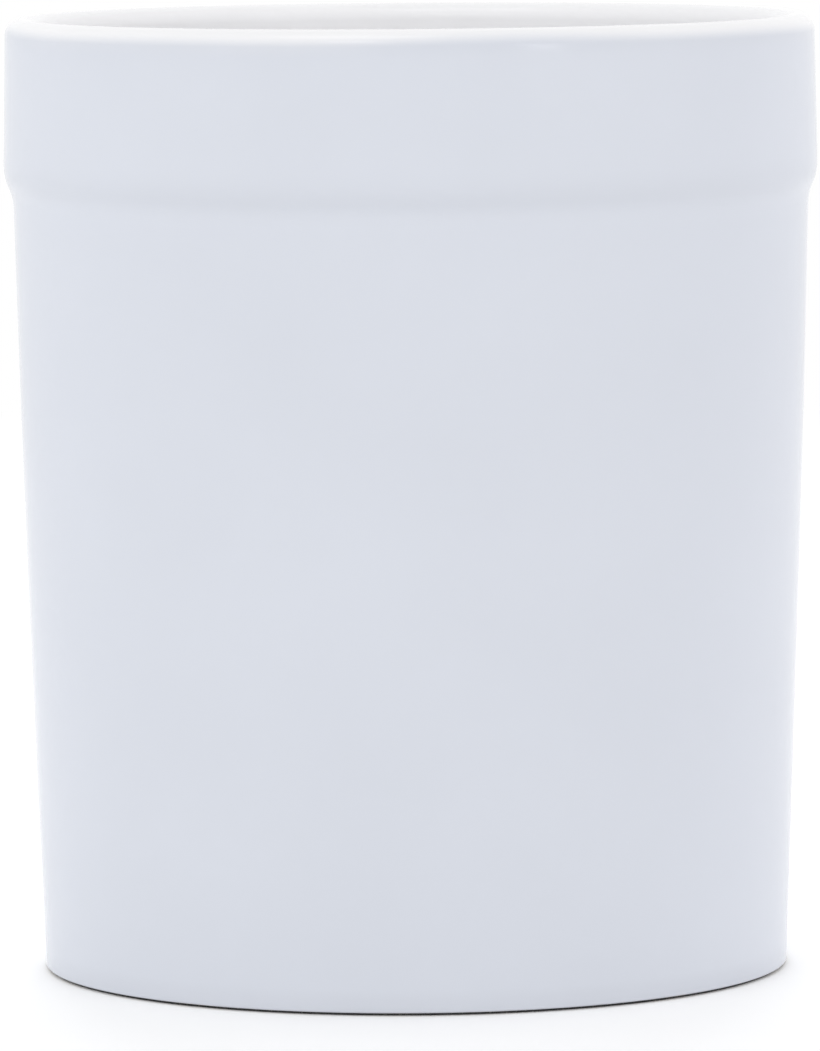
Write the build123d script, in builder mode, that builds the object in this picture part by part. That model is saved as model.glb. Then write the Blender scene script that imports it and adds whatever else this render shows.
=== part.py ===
"""Oval utensil crock of glazed ceramic, with a non-slip ring bonded under its foot.

All sizes are in millimetres. +Z is up, X runs along the width and the front faces -Y. The origin is
the centre of the oval on the surface that the ring stands on. An outset is a distance measured
outwards from the foot's oval outline, square to it, and is negative inside the outline.
"""

import os
from math import radians, tan

from build123d import *

# Foot outline and overall height
foot_width = 144.1
foot_depth = 94.8
holder_height = 184.0

# Outer wall: a straight flared body, a soft step out, and a collar that draws in to the lip
body_flare = 3.9
collar_height = 32.0
collar_overhang = 1.8
collar_draw_in = 0.75
step_angle = 24.0
step_radius = 9.5

# Shell: a cast wall whose inside follows the outside more softly
wall_thickness = 6.0
lip_thickness = 6.4
inner_step_angle = 13.0
inner_step_radius = 24.0
floor_thickness = 6.5
floor_corner_radius = 9.0
floor_seam_margin = 3.0
floor_overlap = 2.0

# Foot: a bare bearing land round a raised underside
foot_edge_radius = 0.45
foot_land_width = 8.0
foot_recess = 2.5
foot_recess_radius = 1.5
land_inner_radius = 0.8

# Non-slip ring: a strip bent round a shallow seat in the land, its ends butted at the front
ring_width = 4.5
ring_thickness = 1.1
ring_proud = 0.55
ring_inset = 1.0
ring_side_clearance = 0.15
ring_joint_gap = 0.3
ring_joint_offset = 2.5

# Adhesive film between the ring and the bottom of its seat
film_thickness = 0.15
film_edge_inset = 0.25

# Heights that follow from the sizes above
land_height = ring_proud
seat_height = ring_thickness + film_thickness
underside_height = land_height + foot_recess
floor_height = underside_height + floor_thickness
step_middle = holder_height - collar_height
step_rise = collar_overhang / tan(radians(step_angle))
step_start = step_middle - step_rise / 2
step_end = step_middle + step_rise / 2
lip_radius = lip_thickness / 2
lip_centre = holder_height - lip_radius
inner_step_rise = (collar_overhang + wall_thickness - lip_thickness) / tan(radians(inner_step_angle))
inner_step_start = step_middle - inner_step_rise / 2
inner_step_end = step_middle + inner_step_rise / 2

# Plan sizes that follow from the sizes above
half_width = foot_width / 2
half_depth = foot_depth / 2
ring_middle = ring_inset + ring_width / 2
seat_outer = ring_inset - ring_side_clearance
seat_inner = ring_inset + ring_width + ring_side_clearance
floor_join = wall_thickness + floor_corner_radius + floor_seam_margin


def section_point(outset: float, height: float) -> tuple[float, float]:
    """Place a point of the wall section, in the XZ plane at the end of the oval's width."""
    return (half_width + outset, height)


def body_outset(height: float) -> float:
    """Outset of the straight body wall's outside at a height."""
    return body_flare * (height - land_height) / (step_start - land_height)


def collar_outset(height: float) -> float:
    """Outset of the collar's outside at a height."""
    drawn_in = collar_draw_in * (height - step_end) / (holder_height - step_end)
    return body_flare + collar_overhang - drawn_in


# Oval outline of the foot, the path of every swept section
with BuildLine() as foot_outline:
    EllipticalCenterArc((0, 0), half_width, half_depth, start_angle=0, arc_size=360)
foot_path = foot_outline.line

# Crock: one wall section carried round the oval, then the floor
outer_foot = section_point(0, land_height)
outer_step_low = section_point(body_outset(step_start), step_start)
outer_step_high = section_point(collar_outset(step_end), step_end)
lip_outer = section_point(collar_outset(lip_centre), lip_centre)
lip_crest = section_point(collar_outset(lip_centre) - lip_radius, holder_height)
lip_inner = section_point(collar_outset(lip_centre) - lip_thickness, lip_centre)
inner_step_high = section_point(collar_outset(inner_step_end) - lip_thickness, inner_step_end)
inner_step_low = section_point(body_outset(inner_step_start) - wall_thickness, inner_step_start)
inner_floor_corner = section_point(body_outset(floor_height) - wall_thickness, floor_height)
floor_end_top = section_point(-floor_join, floor_height)
floor_end_bottom = section_point(-floor_join, underside_height)
recess_corner = section_point(-foot_land_width, underside_height)
land_inner_edge = section_point(-foot_land_width, land_height)
land_seat_inner = section_point(-seat_inner, land_height)

with BuildPart() as crock:
    with BuildSketch(Plane.XZ) as wall_section:
        with BuildLine():
            FilletPolyline(
                section_point(-seat_outer, land_height),
                outer_foot,
                outer_step_low,
                outer_step_high,
                lip_outer,
                radius=[foot_edge_radius, step_radius, step_radius],
            )
            ThreePointArc(lip_outer, lip_crest, lip_inner)
            FilletPolyline(
                lip_inner,
                inner_step_high,
                inner_step_low,
                inner_floor_corner,
                floor_end_top,
                radius=[inner_step_radius, inner_step_radius, floor_corner_radius],
            )
            Line(floor_end_top, floor_end_bottom)
            FilletPolyline(
                floor_end_bottom,
                recess_corner,
                land_inner_edge,
                land_seat_inner,
                radius=[foot_recess_radius, land_inner_radius],
            )
            Polyline(
                land_seat_inner,
                section_point(-seat_inner, seat_height),
                section_point(-seat_outer, seat_height),
                section_point(-seat_outer, land_height),
            )
        make_face()
    sweep(path=foot_path, is_frenet=True)
    with BuildSketch(Plane.XY.offset(underside_height)) as floor_slab:
        Ellipse(
            half_width - floor_join + floor_overlap,
            half_depth - floor_join + floor_overlap,
        )
    extrude(amount=floor_thickness)
crock.part.label = "crock"

# Foot ring: the strip carried round the seat, trimmed flat above and below, with a butt joint at the front
with BuildPart() as foot_ring:
    with BuildSketch(Plane.XZ) as ring_section:
        with Locations(section_point(-ring_middle, ring_thickness / 2)):
            Rectangle(ring_width, 2 * ring_thickness)
    sweep(path=foot_path, is_frenet=True)
    split(bisect_by=Plane.XY, keep=Keep.TOP)
    split(bisect_by=Plane.XY.offset(ring_thickness), keep=Keep.BOTTOM)
    with Locations((ring_joint_offset, ring_middle - half_depth, ring_thickness / 2)):
        Box(ring_joint_gap, 2 * ring_width, 2 * ring_thickness, mode=Mode.SUBTRACT)
foot_ring.part.label = "foot_ring"

# Adhesive film: face to face with the ring's top and the seat's bottom, and slit where the ring is
with BuildPart() as ring_adhesive:
    with BuildSketch(Plane.XZ) as film_section:
        with Locations(section_point(-ring_middle, ring_thickness + film_thickness / 2)):
            Rectangle(ring_width - 2 * film_edge_inset, 2 * film_thickness)
    sweep(path=foot_path, is_frenet=True)
    split(bisect_by=Plane.XY.offset(ring_thickness), keep=Keep.TOP)
    split(bisect_by=Plane.XY.offset(seat_height), keep=Keep.BOTTOM)
    with Locations((ring_joint_offset, ring_middle - half_depth, seat_height)):
        Box(ring_joint_gap, 2 * ring_width, 2 * ring_thickness, mode=Mode.SUBTRACT)
ring_adhesive.part.label = "foot_ring_adhesive"

os.makedirs("parts", exist_ok=True)
export_step(crock.part, "parts/crock.step")
export_step(foot_ring.part, "parts/foot_ring.step")
export_step(ring_adhesive.part, "parts/foot_ring_adhesive.step")
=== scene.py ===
"""Looks of an oval utensil crock: its glazed shell, its non-slip foot ring and the ring's adhesive film.

Lengths are in metres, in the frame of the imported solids: +Z up, X along the width, the front at -Y.
An outset is a distance measured outwards from the foot's oval outline, square to it.
"""

import logging
from dataclasses import dataclass, field
from enum import Enum

import bpy
import numpy as np
from mathutils import Matrix, Vector


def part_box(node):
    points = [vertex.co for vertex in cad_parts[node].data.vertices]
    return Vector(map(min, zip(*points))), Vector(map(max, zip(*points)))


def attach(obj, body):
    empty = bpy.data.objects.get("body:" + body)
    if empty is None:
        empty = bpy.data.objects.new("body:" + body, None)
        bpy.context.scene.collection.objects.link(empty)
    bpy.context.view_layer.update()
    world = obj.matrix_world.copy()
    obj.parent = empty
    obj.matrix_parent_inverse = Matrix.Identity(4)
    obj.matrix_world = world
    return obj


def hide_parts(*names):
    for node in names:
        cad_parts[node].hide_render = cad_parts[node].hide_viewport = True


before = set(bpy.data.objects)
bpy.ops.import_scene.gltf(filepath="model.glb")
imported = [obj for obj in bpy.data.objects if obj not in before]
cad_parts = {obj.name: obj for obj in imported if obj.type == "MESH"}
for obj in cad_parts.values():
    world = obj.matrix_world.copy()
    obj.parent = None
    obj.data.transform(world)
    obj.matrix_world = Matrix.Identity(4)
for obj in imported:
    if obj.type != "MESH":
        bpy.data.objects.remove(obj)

LOG = logging.getLogger("crock")
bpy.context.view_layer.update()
BODY = "root"
# How far the ring lies inside the foot's outline, its width, and how far the film's edges lie inside it
RING_INSET = 0.001
RING_WIDTH = 0.0045
FILM_INSET = 0.00025


class Slot(Enum):
    """Material slots of the record."""

    GLAZE = "glaze"
    RUBBER = "ring_rubber"
    ADHESIVE = "adhesive"


class Trace(Enum):
    """Names of the values that the crock's mesh carries at each vertex."""

    POOLED = "glaze_pooled"
    # Painted light: where the glaze is painted whiter over the lip and inside.
    PAINTED_LIGHT = "painted_light_glaze"
    BARE = "bare_clay"


def smooth_step(low: float, high: float, values: np.ndarray) -> np.ndarray:
    """Ease from 0 to 1 between two limits.

    Args:
        low: Value at which the result is 0.
        high: Value at which the result is 1.
        values: Where it is worked out.

    Returns:
        3 t squared less 2 t cubed, where t is the share of the way from low to high.
    """
    share = np.clip((values - low) / (high - low), 0.0, 1.0)
    return share * share * (3.0 - 2.0 * share)


def rounded_line(corners: np.ndarray, radii: np.ndarray, pitch: float, turn: float) -> np.ndarray:
    """Carry a line through corners, each rounded by a tangent arc.

    An arc of radius r at a corner that turns by an angle starts r times the tangent of half that
    angle before the corner, and its centre lies square to the line there.

    Args:
        corners: Corner points, one row each.
        radii: One radius for each corner between the first and the last.
        pitch: Longest step along a straight stretch.
        turn: Largest turn between two points of an arc, in radians.

    Returns:
        Points along the rounded line, one row each.
    """
    points = [corners[0]]
    for before, corner, after, radius in zip(corners, corners[1:], corners[2:], radii):
        arrive = (corner - before) / np.linalg.norm(corner - before)
        leave = (after - corner) / np.linalg.norm(after - corner)
        bend = np.arctan2(arrive[0] * leave[1] - arrive[1] * leave[0], arrive @ leave)
        start = corner - arrive * radius * np.tan(abs(bend) / 2)
        side = np.array([-arrive[1], arrive[0]]) * np.sign(bend)
        swing = np.linspace(0.0, abs(bend), 1 + int(np.ceil(abs(bend) / turn)))[:, None]
        arc = start + radius * (np.sin(swing) * arrive + (1.0 - np.cos(swing)) * side)
        points.extend(divided(points[-1], arc[0], pitch))
        points.extend(arc[1:])
    points.extend(divided(points[-1], corners[-1], pitch))
    return np.array(points)


def divided(start: np.ndarray, end: np.ndarray, pitch: float) -> np.ndarray:
    """Divide a straight stretch evenly, leaving its first point out.

    Args:
        start: First point.
        end: Last point.
        pitch: Longest step.

    Returns:
        Points up to and with the last one.
    """
    length = np.linalg.norm(end - start)
    steps = int(np.ceil(length / pitch - 1e-9)) if length > 1e-7 else 0
    shares = np.arange(1, steps + 1)[:, None] / max(steps, 1)
    return start + shares * (end - start)


@dataclass(frozen=True)
class Oval:
    """The foot's outline, an ellipse, from which every outset is measured.

    Attributes:
        half_width: Half its size along X.
        half_depth: Half its size along Y.
    """

    half_width: float
    half_depth: float

    def normals(self, angles: np.ndarray) -> tuple[np.ndarray, np.ndarray]:
        """Outward unit normals at the ellipse's own angles.

        Args:
            angles: Angles in radians.

        Returns:
            The normals' X and Y: half_depth cos t and half_width sin t, scaled to length 1.
        """
        across, along = self.half_depth * np.cos(angles), self.half_width * np.sin(angles)
        length = np.hypot(across, along)
        return across / length, along / length

    def carry(self, angles: np.ndarray, outsets: np.ndarray) -> tuple[np.ndarray, np.ndarray]:
        """Plan position of points at given outsets.

        Args:
            angles: Angles in radians.
            outsets: Distances outwards, of a shape that goes with the angles'.

        Returns:
            X and Y: the ellipse's point at each angle plus the outset along its normal there.
        """
        normal_x, normal_y = self.normals(angles)
        x = self.half_width * np.cos(angles) + outsets * normal_x
        y = self.half_depth * np.sin(angles) + outsets * normal_y
        return x, y


def grid_faces(rows: int, columns: int, close_rows: bool, close_columns: bool) -> np.ndarray:
    """Quads of a grid of vertices numbered row by row.

    Args:
        rows: Number of rows.
        columns: Number of columns.
        close_rows: Whether the last row joins the first.
        close_columns: Whether the last column joins the first.

    Returns:
        Four vertex numbers for each quad, turning from a column to the next and then to the next row.
    """
    row = np.arange(rows if close_rows else rows - 1)[:, None]
    column = np.arange(columns if close_columns else columns - 1)[None, :]
    next_row, next_column = (row + 1) % rows, (column + 1) % columns
    corners = (
        row * columns + column,
        row * columns + next_column,
        next_row * columns + next_column,
        next_row * columns + column,
    )
    return np.stack([np.broadcast_to(c, (row.size, column.size)) for c in corners], -1).reshape(-1, 4)


def make_piece(
    name: str, points: np.ndarray, faces: list[list[int]], traces: dict[Trace, np.ndarray]
) -> bpy.types.Object:
    """Put a surface into a new smooth-shaded mesh object at the origin.

    Args:
        name: The piece's name.
        points: Vertex positions, one row each.
        faces: Vertex numbers of each face.
        traces: Values to carry at each vertex.

    Returns:
        The object, linked to the scene.
    """
    mesh = bpy.data.meshes.new(name)
    mesh.from_pydata(points, [], faces)
    for trace, values in traces.items():
        layer = mesh.attributes.new(trace.value, "FLOAT", "POINT")
        layer.data.foreach_set("value", np.ascontiguousarray(values, np.float32).ravel())
    mesh.polygons.foreach_set("use_smooth", np.ones(len(faces), bool))
    mesh.validate()
    mesh.update()
    piece = bpy.data.objects.new(name, mesh)
    bpy.context.scene.collection.objects.link(piece)
    return piece


class Graph:
    """The nodes of a material, world or group, with short calls to add and join them."""

    def __init__(self, tree: bpy.types.NodeTree) -> None:
        """Start from an emptied node tree."""
        self.tree = tree
        self.tree.nodes.clear()

    def add(self, kind: str, settings: dict[str, object] | None = None, **inputs: object) -> bpy.types.Node:
        """Add a node.

        Args:
            kind: The node's type, less its ShaderNode or Node prefix where that is unambiguous.
            settings: The node's own options.
            **inputs: A value or a socket for each input, with _ for a space. in0 is the first input.

        Returns:
            The new node.
        """
        node = self.tree.nodes.new(kind if kind.startswith("Node") else "ShaderNode" + kind)
        for option, value in (settings or {}).items():
            setattr(node, option, value)
        for label, value in inputs.items():
            key = int(label[2:]) if label[:2] == "in" and label[2:].isdigit() else label.replace("_", " ")
            self.feed(node.inputs[key], value)
        return node

    def feed(self, socket: bpy.types.NodeSocket, value: object) -> None:
        """Join a socket to another, or set its own value."""
        if isinstance(value, bpy.types.NodeSocket):
            self.tree.links.new(value, socket)
        else:
            socket.default_value = value

    def value(self, operation: str, first: object, second: object = 0.0) -> bpy.types.NodeSocket:
        """Result of a Math node on two values or sockets."""
        return self.add("Math", {"operation": operation}, in0=first, in1=second).outputs[0]

    def blend(self, share: object, first: object, second: object) -> bpy.types.NodeSocket:
        """Colour that goes from first to second as the share goes from 0 to 1."""
        return self.add("Mix", {"data_type": "RGBA"}, in0=share, in6=first, in7=second).outputs[2]

    def ranged(
        self, source: object, low: float, high: float, new_low: float = 0.0, new_high: float = 1.0
    ) -> bpy.types.NodeSocket:
        """Value carried from one range to another and held inside it."""
        node = self.add("MapRange", in0=source, in1=low, in2=high, in3=new_low, in4=new_high)
        return node.outputs[0]

    def place(self) -> bpy.types.NodeSocket:
        """Object coordinates, in metres from the crock's origin."""
        return self.add("TexCoord").outputs["Object"]

    def trace(self, trace: Trace) -> bpy.types.NodeSocket:
        """A value that the mesh carries at each vertex."""
        return self.add("Attribute", {"attribute_name": trace.value}).outputs["Fac"]

    def effect(self, group: bpy.types.NodeTree, **inputs: object) -> bpy.types.Node:
        """Add a shared effect with its own values."""
        node = self.tree.nodes.new("ShaderNodeGroup")
        node.node_tree = group
        for label, value in inputs.items():
            self.feed(node.inputs[label.replace("_", " ")], value)
        return node


def new_material(name: str) -> tuple[bpy.types.Material, Graph]:
    """Make an empty material and the graph of its nodes."""
    material = bpy.data.materials.new(name)
    material.use_nodes = True
    return material, Graph(material.node_tree)


def rgba(colour: tuple[float, float, float]) -> tuple[float, float, float, float]:
    """A colour with full alpha."""
    return (*colour, 1.0)


class Effects:
    """Effects that several finishes share, each a node group that is built once.

    Attributes:
        finer: How many times finer the grain's second noise is.
        fine_share: How much the second noise adds to the grain's height.
        pit_depth: How far below the pits' level the grain is a full pit.
        cloud_range: The noise's values that count as the darkest and the lightest of the mottle.
    """

    finer: float = 4.0
    fine_share: float = 0.35
    pit_depth: float = 0.08
    cloud_range: tuple[float, float] = (0.3, 0.7)

    def __init__(self) -> None:
        """Build the groups."""
        self.grain = self.build_grain()
        self.mottle = self.build_mottle()

    @staticmethod
    def new_group(
        name: str, inputs: dict[str, tuple[str, float]], outputs: dict[str, str]
    ) -> tuple[Graph, bpy.types.Node, bpy.types.Node]:
        """Make an empty group with its sockets.

        Args:
            name: The group's name.
            inputs: Kind and starting value of each input, by name.
            outputs: Kind of each output, by name.

        Returns:
            The group's graph, its input node and its output node.
        """
        tree = bpy.data.node_groups.new(name, "ShaderNodeTree")
        for label, (kind, start) in inputs.items():
            socket = tree.interface.new_socket(label, in_out="INPUT", socket_type="NodeSocket" + kind)
            if kind == "Float":
                socket.default_value = start
        for label, kind in outputs.items():
            tree.interface.new_socket(label, in_out="OUTPUT", socket_type="NodeSocket" + kind)
        graph = Graph(tree)
        return graph, graph.add("NodeGroupInput"), graph.add("NodeGroupOutput")

    def build_grain(self) -> bpy.types.NodeTree:
        """Fine grain: a rough noise and a finer one, and pits where the rough one is lowest."""
        inputs = {"Vector": ("Vector", 0.0), "Scale": ("Float", 2000.0), "Pits": ("Float", 0.3)}
        outputs = {"Height": "Float", "Pit Mask": "Float"}
        graph, given, result = self.new_group("fine_grain", inputs, outputs)
        scale = given.outputs["Scale"]
        coarse = graph.add("TexNoise", Vector=given.outputs["Vector"], Scale=scale, Detail=4.0)
        finer_scale = graph.value("MULTIPLY", scale, self.finer)
        fine = graph.add("TexNoise", Vector=given.outputs["Vector"], Scale=finer_scale, Detail=2.0)
        fine_part = graph.value("MULTIPLY", fine.outputs["Fac"], self.fine_share)
        height = graph.value("ADD", coarse.outputs["Fac"], fine_part)
        depth = graph.value("SUBTRACT", given.outputs["Pits"], coarse.outputs["Fac"])
        graph.feed(result.inputs["Height"], height)
        graph.feed(result.inputs["Pit Mask"], graph.ranged(depth, 0.0, self.pit_depth))
        return graph.tree

    def build_mottle(self) -> bpy.types.NodeTree:
        """Soft mottle: a broad slow noise that lifts or lowers a colour's tone by up to Amount."""
        inputs = {
            "Vector": ("Vector", 0.0),
            "Color": ("Color", 0.0),
            "Scale": ("Float", 20.0),
            "Amount": ("Float", 0.02),
        }
        graph, given, result = self.new_group("soft_mottle", inputs, {"Color": "Color", "Mask": "Float"})
        vector, scale = given.outputs["Vector"], given.outputs["Scale"]
        noise = graph.add("TexNoise", Vector=vector, Scale=scale, Detail=3.0)
        mask = graph.ranged(noise.outputs["Fac"], *self.cloud_range, -1.0, 1.0)
        change = graph.value("MULTIPLY", mask, given.outputs["Amount"])
        tone = graph.value("ADD", change, 1.0)
        scaled = graph.add("VectorMath", {"operation": "SCALE"}, in0=given.outputs["Color"], Scale=tone)
        graph.feed(result.inputs["Color"], scaled.outputs[0])
        graph.feed(result.inputs["Mask"], mask)
        return graph.tree


@dataclass(frozen=True)
class GlazeFinish:
    """Glossy white glaze over a pale cast body, which is bare on the foot's land.

    The glaze is faintly cool outside; over the lip and inside it is painted whiter, as painted light where
    these are lit brighter.

    Attributes:
        glaze: Colour outside.
        painted_light_white: The glaze painted whiter over the lip and inside, as painted light.
        pooled_tone: What the colour is multiplied by in hollows.
        thinned_tone: What it is multiplied by on edges.
        gloss_spread: How far the glaze's roughness goes up and down, as a share of it.
        pits: Level of the grain below which the clay is pitted.
    """

    name: str = "cool_white_glaze"
    glaze: tuple[float, float, float] = (0.705, 0.735, 0.805)
    painted_light_white: tuple[float, float, float] = (0.95, 0.95, 0.965)
    pooled_tone: float = 1.02
    thinned_tone: float = 0.95
    clay: tuple[float, float, float] = (0.66, 0.61, 0.53)
    clay_pit: tuple[float, float, float] = (0.4, 0.34, 0.27)
    gloss_roughness: float = 0.14
    gloss_spread: float = 0.15
    clay_roughness: float = 0.82
    ripple_scale: float = 170.0
    ripple_depth: float = 0.00002
    grain_depth: float = 0.00006
    mottle_scale: float = 24.0
    mottle_amount: float = 0.012
    grain_scale: float = 2400.0
    pits: float = 0.38

    def material(self, effects: Effects) -> bpy.types.Material:
        """Build the material.

        Args:
            effects: The shared effects.

        Returns:
            A material that reads the crock's own traces for pooled glaze, bare clay, and the painted light
            that whitens the glaze over the lip and inside.
        """
        material, graph = new_material(self.name)
        place = graph.place()
        pooled, bare = graph.trace(Trace.POOLED), graph.trace(Trace.BARE)
        # Painted light: the glaze is painted whiter over the lip and inside, where these are lit brighter.
        glaze = graph.blend(graph.trace(Trace.PAINTED_LIGHT), rgba(self.glaze), rgba(self.painted_light_white))
        tone = graph.ranged(pooled, -1.0, 1.0, self.thinned_tone, self.pooled_tone)
        coat = graph.add("VectorMath", {"operation": "SCALE"}, in0=glaze, Scale=tone).outputs[0]
        cloud = graph.effect(
            effects.mottle, Vector=place, Color=coat, Scale=self.mottle_scale, Amount=self.mottle_amount
        )
        grain = graph.effect(effects.grain, Vector=place, Scale=self.grain_scale, Pits=self.pits)
        clay = graph.blend(grain.outputs["Pit Mask"], rgba(self.clay), rgba(self.clay_pit))
        colour = graph.blend(bare, cloud.outputs["Color"], clay)
        smoothest = self.gloss_roughness * (1.0 - self.gloss_spread)
        roughest = self.gloss_roughness * (1.0 + self.gloss_spread)
        gloss = graph.ranged(cloud.outputs["Mask"], -1.0, 1.0, smoothest, roughest)
        dull = graph.value("MULTIPLY", bare, self.clay_roughness)
        shiny = graph.value("MULTIPLY", graph.value("SUBTRACT", 1.0, bare), gloss)
        ripple = graph.add("TexNoise", Vector=place, Scale=self.ripple_scale, Detail=1.0, Roughness=0.4)
        grain_height = graph.value("MULTIPLY", grain.outputs["Height"], bare)
        coarse = graph.add("Bump", Strength=1.0, Distance=self.ripple_depth, Height=ripple.outputs["Fac"])
        relief = graph.add(
            "Bump", Strength=1.0, Distance=self.grain_depth, Height=grain_height, Normal=coarse.outputs[0]
        )
        surface = graph.add(
            "BsdfPrincipled",
            Base_Color=colour,
            Roughness=graph.value("ADD", dull, shiny),
            IOR=1.5,
            Normal=relief.outputs[0],
        )
        graph.add("OutputMaterial", Surface=surface.outputs[0])
        return material


@dataclass(frozen=True)
class RubberFinish:
    """Matte dark rubber strip, with a fine moulded grain and a little pale dust in its pits; its dark
    colour also stands in as painted shade for the gap under the foot.
    """

    name: str = "dark_rubber_and_painted_gap_shade"
    # Painted shade: this near-black also stands in for the shade in the gap under the foot.
    rubber_and_gap_shade: tuple[float, float, float] = (0.032, 0.032, 0.034)
    dust: tuple[float, float, float] = (0.16, 0.155, 0.15)
    grain_scale: float = 3200.0
    grain_depth: float = 0.00005
    mottle_scale: float = 60.0
    mottle_amount: float = 0.12
    low_roughness: float = 0.62
    high_roughness: float = 0.84
    pits: float = 0.42

    def material(self, effects: Effects) -> bpy.types.Material:
        """Build the material.

        Args:
            effects: The shared effects.

        Returns:
            The strip's material.
        """
        material, graph = new_material(self.name)
        place = graph.place()
        grain = graph.effect(effects.grain, Vector=place, Scale=self.grain_scale, Pits=self.pits)
        dusty = graph.blend(grain.outputs["Pit Mask"], rgba(self.rubber_and_gap_shade), rgba(self.dust))
        cloud = graph.effect(
            effects.mottle, Vector=place, Color=dusty, Scale=self.mottle_scale, Amount=self.mottle_amount
        )
        roughness = graph.ranged(cloud.outputs["Mask"], -1.0, 1.0, self.low_roughness, self.high_roughness)
        relief = graph.add("Bump", Strength=1.0, Distance=self.grain_depth, Height=grain.outputs["Height"])
        surface = graph.add(
            "BsdfPrincipled",
            Base_Color=cloud.outputs["Color"],
            Roughness=roughness,
            Normal=relief.outputs[0],
        )
        graph.add("OutputMaterial", Surface=surface.outputs[0])
        return material


@dataclass(frozen=True)
class AdhesiveFinish:
    """Cloudy bonding film, whiter where small bubbles are trapped in it."""

    name: str = "cloudy_bond_film"
    film: tuple[float, float, float] = (0.62, 0.6, 0.52)
    bubble: tuple[float, float, float] = (0.8, 0.79, 0.74)
    bubble_scale: float = 1500.0
    mottle_scale: float = 150.0
    mottle_amount: float = 0.08
    low_roughness: float = 0.3
    high_roughness: float = 0.55
    pits: float = 0.4

    def material(self, effects: Effects) -> bpy.types.Material:
        """Build the material.

        Args:
            effects: The shared effects.

        Returns:
            The film's material.
        """
        material, graph = new_material(self.name)
        place = graph.place()
        grain = graph.effect(effects.grain, Vector=place, Scale=self.bubble_scale, Pits=self.pits)
        bubbled = graph.blend(grain.outputs["Pit Mask"], rgba(self.film), rgba(self.bubble))
        cloud = graph.effect(
            effects.mottle, Vector=place, Color=bubbled, Scale=self.mottle_scale, Amount=self.mottle_amount
        )
        roughness = graph.ranged(grain.outputs["Height"], 0.3, 1.0, self.low_roughness, self.high_roughness)
        surface = graph.add("BsdfPrincipled", Base_Color=cloud.outputs["Color"], Roughness=roughness)
        graph.add("OutputMaterial", Surface=surface.outputs[0])
        return material


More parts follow.
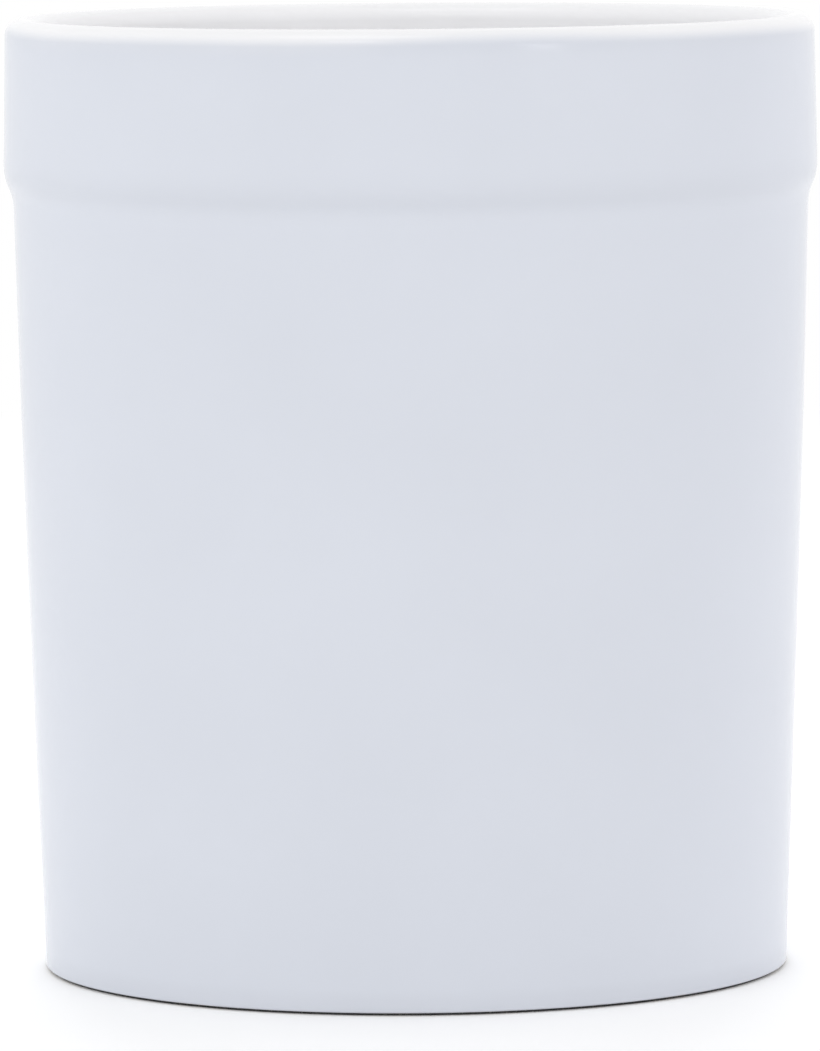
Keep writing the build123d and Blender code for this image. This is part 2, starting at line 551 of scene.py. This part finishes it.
@dataclass
class Crock:
    """The cast pot: foot, flared body, collar, rounded lip, inside wall, floor and underside.

    Attributes:
        oval: The foot's outline.
        height: Height of the lip's crest above the standing surface.
        lip_rounding: Radius of each of the lip's two arcs, as a share of its thickness.
        columns: Vertices round the oval.
        pitch: Longest step up a straight stretch of wall.
        turn: Largest turn between two points of an arc, in radians.
        closest: Points of the section nearer than this to the one before are left out.
        unevenness: Size of the wall's slow waves outside.
        inside_unevenness: Size of those waves inside.
        even_foot: Heights below which the wall is even and above which its waves are full.
        wave_counts: Fewest waves round the oval, and one more than the most.
        wave_drift: Furthest that a wave turns up the wall, in radians a metre.
        belly: How far the body swells half way up.
        pooling_reach: Distance over which the section's bends are averaged for the glaze.
        full_bend: Averaged bend at which the glaze is fully thin or pooled, in radians a metre.
        painted_light_reach: How far below the crest the glaze painted whiter as painted light starts and
            stops fading outside.
        painted_light_wander: Size of the slower wave in the edge of that painted light.
        clay_top: How far above the seat the bare clay starts and stops fading.
        clay_edge: How far inside the foot's outline the bare clay fades in.
        clay_wander: Size of the waves in the bare clay's edge.
        seed: Start of the random draws for the waves.
    """

    oval: Oval
    height: float
    body_flare: float = 0.0039
    collar_height: float = 0.032
    collar_overhang: float = 0.0018
    collar_draw_in: float = 0.00075
    step_angle: float = np.radians(24.0)
    step_radius: float = 0.0095
    wall: float = 0.006
    lip: float = 0.0064
    lip_rounding: float = 0.499
    inner_step_angle: float = np.radians(13.0)
    inner_step_radius: float = 0.024
    floor_thickness: float = 0.0065
    floor_corner_radius: float = 0.009
    floor_join: float = 0.018
    foot_edge_radius: float = 0.00045
    land_width: float = 0.008
    land_inner_radius: float = 0.0008
    recess: float = 0.0025
    recess_radius: float = 0.0015
    land_height: float = 0.00055
    seat_height: float = 0.00125
    seat_outer: float = 0.00085
    seat_inner: float = 0.00565
    seat_edge_radius: float = 0.00015
    columns: int = 288
    pitch: float = 0.002
    turn: float = np.radians(7.5)
    closest: float = 0.000015
    floor_rows: int = 14
    unevenness: float = 0.00008
    inside_unevenness: float = 0.000128
    even_foot: tuple[float, float] = (0.004, 0.03)
    wave_counts: tuple[int, int] = (2, 9)
    wave_drift: float = 45.0
    belly: float = 0.00025
    pooling_reach: float = 0.0014
    full_bend: float = 180.0
    painted_light_reach: tuple[float, float] = (0.0006, 0.0034)
    painted_light_wander: float = 0.0004
    clay_top: tuple[float, float] = (0.00005, 0.00025)
    clay_edge: tuple[float, float] = (0.0002, 0.0005)
    clay_wander: float = 0.00008
    seed: int = 17
    finish: GlazeFinish = field(default_factory=GlazeFinish)

    def body_outset(self, height: float, step_start: float) -> float:
        """Outset of the straight body wall at a height."""
        return self.body_flare * (height - self.land_height) / (step_start - self.land_height)

    def collar_outset(self, height: float, step_end: float) -> float:
        """Outset of the collar's outside at a height."""
        drawn_in = self.collar_draw_in * (height - step_end) / (self.height - step_end)
        return self.body_flare + self.collar_overhang - drawn_in

    def section(self) -> np.ndarray:
        """Points of the wall section, from the underside out, up, over the lip and down to the floor.

        Returns:
            Outset and height of each point, on straight stretches joined by tangent arcs. The lip's two
            arcs end so close together on its crest that only one of their two points is kept.
        """
        middle = self.height - self.collar_height
        rise = self.collar_overhang / np.tan(self.step_angle)
        low, high = middle - rise / 2, middle + rise / 2
        inner_overhang = self.collar_overhang + self.wall - self.lip
        inner_rise = inner_overhang / np.tan(self.inner_step_angle)
        inner_low, inner_high = middle - inner_rise / 2, middle + inner_rise / 2
        underside = self.land_height + self.recess
        floor = underside + self.floor_thickness
        top_outset = self.collar_outset(self.height, high)
        corners = [
            (-self.floor_join, underside),
            (-self.land_width, underside),
            (-self.land_width, self.land_height),
            (-self.seat_inner, self.land_height),
            (-self.seat_inner, self.seat_height),
            (-self.seat_outer, self.seat_height),
            (-self.seat_outer, self.land_height),
            (0.0, self.land_height),
            (self.body_outset(low, low), low),
            (self.collar_outset(high, high), high),
            (top_outset, self.height),
            (top_outset - self.lip, self.height),
            (self.collar_outset(inner_high, high) - self.lip, inner_high),
            (self.body_outset(inner_low, low) - self.wall, inner_low),
            (self.body_outset(floor, low) - self.wall, floor),
            (-self.floor_join, floor),
        ]
        lip_radius = self.lip_rounding * self.lip
        radii = [
            self.recess_radius,
            self.land_inner_radius,
            *[self.seat_edge_radius] * 4,
            self.foot_edge_radius,
            self.step_radius,
            self.step_radius,
            lip_radius,
            lip_radius,
            self.inner_step_radius,
            self.inner_step_radius,
            self.floor_corner_radius,
        ]
        line = rounded_line(np.array(corners), np.array(radii), self.pitch, self.turn)
        apart = np.linalg.norm(np.diff(line, axis=0), axis=1) > self.closest
        return line[np.concatenate([[True], apart])]

    def pooling(self, section: np.ndarray) -> np.ndarray:
        """How thick the glaze lies on each point of the section.

        The section's turn per metre is averaged over a short reach: glaze thins to -1 on edges that bulge
        and pools to 1 in hollows.

        Args:
            section: Outset and height of each point.

        Returns:
            A value from -1 to 1 for each point.
        """
        step = np.diff(section, axis=0)
        heading = np.unwrap(np.arctan2(step[:, 1], step[:, 0]))
        length = np.linalg.norm(step, axis=1)
        along = np.concatenate([[0.0], np.cumsum(length)])
        turn = np.concatenate([[0.0], np.diff(heading), [0.0]])
        weight = np.exp(-0.5 * ((along[:, None] - along[None, :]) / self.pooling_reach) ** 2)
        bend = weight @ turn / (self.pooling_reach * np.sqrt(2.0 * np.pi))
        return np.clip(-bend / self.full_bend, -1.0, 1.0)

    def swell(self, angles: np.ndarray, heights: np.ndarray, phase: int) -> np.ndarray:
        """Slow unevenness of a hand-finished wall.

        A sum of waves, each the cosine of a whole number of turns round the oval plus a drift with
        height, with amplitudes that fall as the waves get shorter.

        Args:
            angles: Angle of each column.
            heights: Height of each row.
            phase: Number that sets where the waves start.

        Returns:
            A value for each row and column, mostly between -1 and 1.
        """
        random = np.random.default_rng(self.seed + phase)
        turns = np.arange(*self.wave_counts)[:, None, None]
        drift = random.uniform(-self.wave_drift, self.wave_drift, turns.shape)
        start = random.uniform(0.0, 2.0 * np.pi, turns.shape)
        waves = np.cos(turns * angles[None, None, :] + drift * heights[None, :, None] + start)
        return (waves / turns).sum(0)

    def build(self) -> bpy.types.Object:
        """Build the closed shell: the section carried round the oval, and two flat floors to their middles.

        Rows up to the crest take the outside's waves and the rest the inside's, so the rows just inside
        the crest lie unevenly spaced.

        Returns:
            The crock's mesh object, with the traces for its finish.
        """
        section = self.section()
        angles = np.arange(self.columns) * (2.0 * np.pi / self.columns)
        shares = np.linspace(0.0, 1.0, self.floor_rows + 1)[1:-1]
        outsets = np.pad(section[:, 0], shares.size, mode="edge")
        heights = np.pad(section[:, 1], shares.size, mode="edge")
        reach = np.concatenate([shares, np.ones(len(section)), 1.0 - shares])
        outer = np.arange(outsets.size) <= shares.size + np.argmax(section[:, 1])
        free = smooth_step(*self.even_foot, heights)[:, None]
        room = (outsets[outer].max() - outsets)[:, None]
        rise = np.clip(heights / (self.height - self.collar_height), 0.0, 1.0)[:, None]
        belly = self.belly * 4.0 * rise * (1.0 - rise)
        outside = np.minimum(self.unevenness * self.swell(angles, heights, 0) + belly, room)
        inside = self.inside_unevenness * self.swell(angles, heights, 1)
        change = free * np.where(outer[:, None], outside, inside)
        x, y = self.oval.carry(angles[None, :], outsets[:, None] + change)
        x, y = x * reach[:, None], y * reach[:, None]
        z = np.broadcast_to(heights[:, None], x.shape)
        rows = outsets.size
        grid = np.stack([x, y, z], -1).reshape(-1, 3)
        poles = np.array([[0.0, 0.0, heights[0]], [0.0, 0.0, heights[-1]]])
        quads = grid_faces(rows, self.columns, False, True)
        column = np.arange(self.columns)
        after = (column + 1) % self.columns
        bottom = np.stack([np.full(self.columns, rows * self.columns), after, column], -1)
        last = (rows - 1) * self.columns
        top = np.stack([np.full(self.columns, rows * self.columns + 1), last + column, last + after], -1)
        pooled = np.pad(self.pooling(section), shares.size)
        pooled = np.broadcast_to(pooled[:, None], x.shape).ravel()
        bare = self.bare(outsets, heights, angles).ravel()
        return make_piece(
            "crock_shell",
            np.concatenate([grid, poles]),
            quads.tolist() + bottom.tolist() + top.tolist(),
            {
                Trace.POOLED: np.append(pooled, [0.0, 0.0]),
                Trace.PAINTED_LIGHT: np.append(self.painted_light_white(heights, outer, angles).ravel(), [0.0, 1.0]),
                Trace.BARE: np.append(bare, [0.0, 0.0]),
            },
        )

    def painted_light_white(self, heights: np.ndarray, outer: np.ndarray, angles: np.ndarray) -> np.ndarray:
        """Where the glaze is painted whiter, as painted light over the lip and inside.

        Args:
            heights: Height of each row.
            outer: Whether each row is outside the lip's crest.
            angles: Angle of each column.

        Returns:
            1 inside and over the lip, fading to 0 down the lip's outside, along a slightly wavy line.
        """
        # Painted light: whiter glaze inside and down the lip's outside.
        wander = self.painted_light_wander * (np.cos(3.0 * angles + 0.4) + 0.5 * np.cos(7.0 * angles))[None, :]
        above = heights[:, None] - self.height + wander
        outside = smooth_step(-self.painted_light_reach[1], -self.painted_light_reach[0], above)
        return np.where(outer[:, None], outside, 1.0)

    def bare(self, outsets: np.ndarray, heights: np.ndarray, angles: np.ndarray) -> np.ndarray:
        """Where the foot is wiped clean of glaze.

        Args:
            outsets: Outset of each row.
            heights: Height of each row.
            angles: Angle of each column.

        Returns:
            1 on the bearing land and in the ring's seat and 0 on the glaze, with a slightly wavy break.
        """
        wander = self.clay_wander * (np.cos(9.0 * angles + 1.0) + np.cos(23.0 * angles))[None, :]
        low = 1.0 - smooth_step(*self.clay_top, heights[:, None] - self.seat_height)
        inside = smooth_step(*self.clay_edge, -outsets[:, None] + wander)
        return low * inside

    def dress(self, piece: bpy.types.Object, effects: Effects) -> None:
        """Give the shell its finish and its place in the frame."""
        piece.data.materials.append(self.finish.material(effects))
        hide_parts("crock")
        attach(piece, BODY)


@dataclass
class SeatedStrip:
    """A strip bent round the foot's seat, with its two ends facing each other at the front.

    Attributes:
        name: The piece's name.
        node: The solid that it stands for.
        slot: The record's material slot; not used.
        oval: The foot's outline.
        middle: How far the strip's middle lies inside that outline.
        width: Width across the strip.
        bottom: Height of its underside.
        thickness: Height of the strip.
        edge_radius: Radius of its long edges.
        finish: Its finish.
        joint_place: X of the middle of the gap between its ends.
        joint_gap: Width of that gap.
        stations: Sections along the strip.
        pitch: Longest step along a straight stretch of the section.
        turn: Largest turn between two points of an arc, in radians.
    """

    name: str
    node: str
    slot: Slot
    oval: Oval
    middle: float
    width: float
    bottom: float
    thickness: float
    edge_radius: float
    finish: RubberFinish | AdhesiveFinish
    joint_place: float = 0.0025
    joint_gap: float = 0.0003
    stations: int = 480
    pitch: float = 0.0006
    turn: float = np.radians(18.0)

    def section(self) -> np.ndarray:
        """Outset and height round the strip's section, a rectangle with rounded corners."""
        half, top = self.width / 2, self.bottom + self.thickness
        left, right = -self.middle - half, -self.middle + half
        corners = [
            (-self.middle, self.bottom),
            (right, self.bottom),
            (right, top),
            (left, top),
            (left, self.bottom),
            (-self.middle, self.bottom),
        ]
        return rounded_line(np.array(corners), np.full(4, self.edge_radius), self.pitch, self.turn)[:-1]

    def build(self) -> bpy.types.Object:
        """Carry the section round the seat and close its two ends.

        Near the front the line's X is the sine of the angle past the front times the half width of the
        curve that the strip's middle follows, which sets the angles where the strip starts and ends.

        Returns:
            The strip's mesh object.
        """
        section = self.section()
        reach = self.oval.half_width - self.middle * self.oval.half_depth / self.oval.half_width
        first = -np.pi / 2 + np.arcsin((self.joint_place + self.joint_gap / 2) / reach)
        last = 1.5 * np.pi + np.arcsin((self.joint_place - self.joint_gap / 2) / reach)
        angles = np.linspace(first, last, self.stations)
        x, y = self.oval.carry(angles[None, :], section[:, :1])
        z = np.broadcast_to(section[:, 1:], x.shape)
        rows = len(section)
        grid = np.stack([x, y, z], -1).reshape(-1, 3)
        quads = grid_faces(rows, self.stations, True, False)
        around = np.arange(rows) * self.stations
        ends = [around.tolist(), (around + self.stations - 1)[::-1].tolist()]
        return make_piece(self.name, grid, quads.tolist() + ends, {})

    def dress(self, piece: bpy.types.Object, effects: Effects) -> None:
        """Give the strip its finish and its place in the frame."""
        sharp = np.zeros(len(piece.data.polygons), bool)
        sharp[-2:] = True
        piece.data.polygons.foreach_set("use_smooth", ~sharp)
        piece.data.materials.append(self.finish.material(effects))
        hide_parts(self.node)
        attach(piece, BODY)


@dataclass(frozen=True)
class Softbox:
    """A square area lamp aimed at the crock.

    Attributes:
        name: The lamp's name.
        place: Where it stands.
        side: Length of its side.
        share: Light that it adds to a surface facing it, where 1 shows a colour as it is written.
        tint: Its colour.
        mirrored: Whether it shows in the glaze.
    """

    name: str
    place: tuple[float, float, float]
    side: float
    share: float
    tint: tuple[float, float, float] = (1.0, 1.0, 1.0)
    mirrored: bool = False

    def build(self, target: Vector) -> bpy.types.Object:
        """Make the lamp.

        Args:
            target: The point that it faces.

        Returns:
            The lamp, with the power that gives its share at the target: the share times pi squared times
            the square of its distance.
        """
        lamp = bpy.data.lights.new(self.name, "AREA")
        away = target - Vector(self.place)
        lamp.shape = "SQUARE"
        lamp.size = self.side
        lamp.energy = self.share * np.pi**2 * away.length_squared
        lamp.color = self.tint
        holder = bpy.data.objects.new(self.name, lamp)
        holder.location = self.place
        holder.rotation_euler = away.to_track_quat("-Z", "Y").to_euler()
        holder.visible_camera = False
        holder.visible_glossy = self.mirrored
        bpy.context.scene.collection.objects.link(holder)
        return holder


def seen_plainly(graph: Graph) -> bpy.types.NodeSocket:
    """Value of 1 where a surface is seen, reflected or seen through, and 0 where it only lights."""
    path = graph.add("LightPath")
    seen = graph.value("MAXIMUM", path.outputs["Is Camera Ray"], path.outputs["Is Glossy Ray"])
    return graph.value("MAXIMUM", seen, path.outputs["Is Transmission Ray"])


@dataclass
class Studio:
    """White floor and surroundings, soft lamps, and the camera at the photographed angle.

    Attributes:
        floor_white: The floor's colour where it lights the crock.
        floor_seen: Its colour where it is seen near the crock.
        floor_fade: Distances at which the seen floor starts to turn, and has turned, plain white.
        white: Strength of plain white.
        surroundings: Strength of the surroundings where they light the crock.
        sensor: Height of the camera's sensor, in millimetres, as is its focal length.
    """

    floor_side: float = 24.0
    floor_white: tuple[float, float, float] = (0.8, 0.8, 0.8)
    floor_seen: tuple[float, float, float] = (1.06, 1.06, 1.06)
    floor_fade: tuple[float, float] = (0.3, 0.9)
    white: float = 1.0
    surroundings: float = 0.76
    camera_distance: float = 1.08076
    camera_height: float = 0.23921
    camera_side: float = -0.000613
    camera_tilt: float = np.radians(8.0746)
    camera_roll: float = np.radians(-0.4477)
    focal_length: float = 193.906
    sensor: float = 36.0
    lamps: tuple[Softbox, ...] = (
        Softbox("front_left_softbox", (-1.7, -1.4, 0.68), 1.6, 0.2),
        Softbox("front_right_softbox", (1.7, -1.4, 0.68), 1.6, 0.145, (1.0, 0.985, 0.99)),
        Softbox("left_edge_softbox", (-2.1, 0.75, 0.5), 1.6, 0.11),
        Softbox("right_edge_softbox", (2.1, 0.75, 0.5), 1.6, 0.17, (1.0, 0.96, 0.975)),
        Softbox("back_softbox", (0.0, 2.1, 1.1), 1.8, 0.38),
        Softbox("top_softbox", (-0.3, -0.7, 2.2), 0.8, 0.038, mirrored=True),
        Softbox("high_streak_lamp", (-0.37, -1.72, 1.42), 0.4, 0.014, mirrored=True),
        Softbox("low_streak_lamp", (1.0, -1.96, 0.4), 0.3, 0.012, mirrored=True),
    )

    def build_floor(self) -> None:
        """Lay the floor, seen white with the crock's shadow close to it and plain white beyond."""
        half = self.floor_side / 2
        corners = np.array([(-half, -half, 0.0), (half, -half, 0.0), (half, half, 0.0), (-half, half, 0.0)])
        floor = make_piece("studio_floor", corners, [[0, 1, 2, 3]], {})
        material, graph = new_material("studio_white")
        seen = seen_plainly(graph)
        colour = graph.blend(seen, rgba(self.floor_white), rgba(self.floor_seen))
        matte = graph.add("BsdfDiffuse", Color=colour)
        plain = graph.add("Emission", Color=rgba((1.0, 1.0, 1.0)), Strength=self.white)
        distance = graph.add("VectorMath", {"operation": "LENGTH"}, in0=graph.place()).outputs["Value"]
        far = graph.value("MULTIPLY", seen, graph.ranged(distance, *self.floor_fade))
        both = graph.add("MixShader", in0=far, in1=matte.outputs[0], in2=plain.outputs[0])
        graph.add("OutputMaterial", Surface=both.outputs[0])
        floor.data.materials.append(material)

    def build_surroundings(self) -> None:
        """Surround the crock with white, plain where it is seen and softer where it lights."""
        world = bpy.data.worlds.new("studio_surroundings")
        world.use_nodes = True
        bpy.context.scene.world = world
        graph = Graph(world.node_tree)
        strength = graph.ranged(seen_plainly(graph), 0.0, 1.0, self.surroundings, self.white)
        background = graph.add("Background", Color=rgba((1.0, 1.0, 1.0)), Strength=strength)
        graph.add("OutputWorld", Surface=background.outputs[0])

    def build_camera(self) -> bpy.types.Object:
        """Set up the camera, level along +Y, tilted down and then rolled about its own axis."""
        data = bpy.data.cameras.new("front_camera")
        data.sensor_fit = "VERTICAL"
        data.sensor_height = self.sensor
        data.lens = self.focal_length
        camera = bpy.data.objects.new("front_camera", data)
        place = Matrix.Translation((self.camera_side, -self.camera_distance, self.camera_height))
        tilt = Matrix.Rotation(np.pi / 2 - self.camera_tilt, 4, "X")
        camera.matrix_world = place @ tilt @ Matrix.Rotation(self.camera_roll, 4, "Z")
        bpy.context.scene.collection.objects.link(camera)
        bpy.context.scene.camera = camera
        return camera

    def build(self, target: Vector) -> None:
        """Build everything round the crock.

        Args:
            target: The point that the lamps face.
        """
        self.build_floor()
        self.build_surroundings()
        self.build_camera()
        for softbox in self.lamps:
            softbox.build(target)
        bpy.context.scene.view_settings.view_transform = "Standard"


def main() -> None:
    """Build, dress and place each piece in order, then the studio, and report them."""
    effects = Effects()
    ring_low, ring_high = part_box("foot_ring")
    film_low, film_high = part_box("foot_ring_adhesive")
    _, crock_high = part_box("crock")
    oval = Oval(ring_high.x + RING_INSET, ring_high.y + RING_INSET)
    middle = RING_INSET + RING_WIDTH / 2
    crock = Crock(oval, crock_high.z)
    ring = SeatedStrip(
        name="non_slip_ring",
        node="foot_ring",
        slot=Slot.RUBBER,
        oval=oval,
        middle=middle,
        width=RING_WIDTH,
        bottom=ring_low.z,
        thickness=ring_high.z - ring_low.z,
        edge_radius=0.00015,
        finish=RubberFinish(),
    )
    film = SeatedStrip(
        name="ring_bond_film",
        node="foot_ring_adhesive",
        slot=Slot.ADHESIVE,
        oval=oval,
        middle=middle,
        width=RING_WIDTH - 2 * FILM_INSET,
        bottom=film_low.z,
        thickness=film_high.z - film_low.z,
        edge_radius=0.00002,
        finish=AdhesiveFinish(),
    )
    for maker in (crock, ring, film):
        piece = maker.build()
        maker.dress(piece, effects)
        LOG.info("%s: %d faces", piece.name, len(piece.data.polygons))
    Studio().build(Vector((0.0, 0.0, crock_high.z / 2)))


if __name__ == "__main__":
    logging.basicConfig(level=logging.INFO, format="%(name)s: %(message)s")
    main()
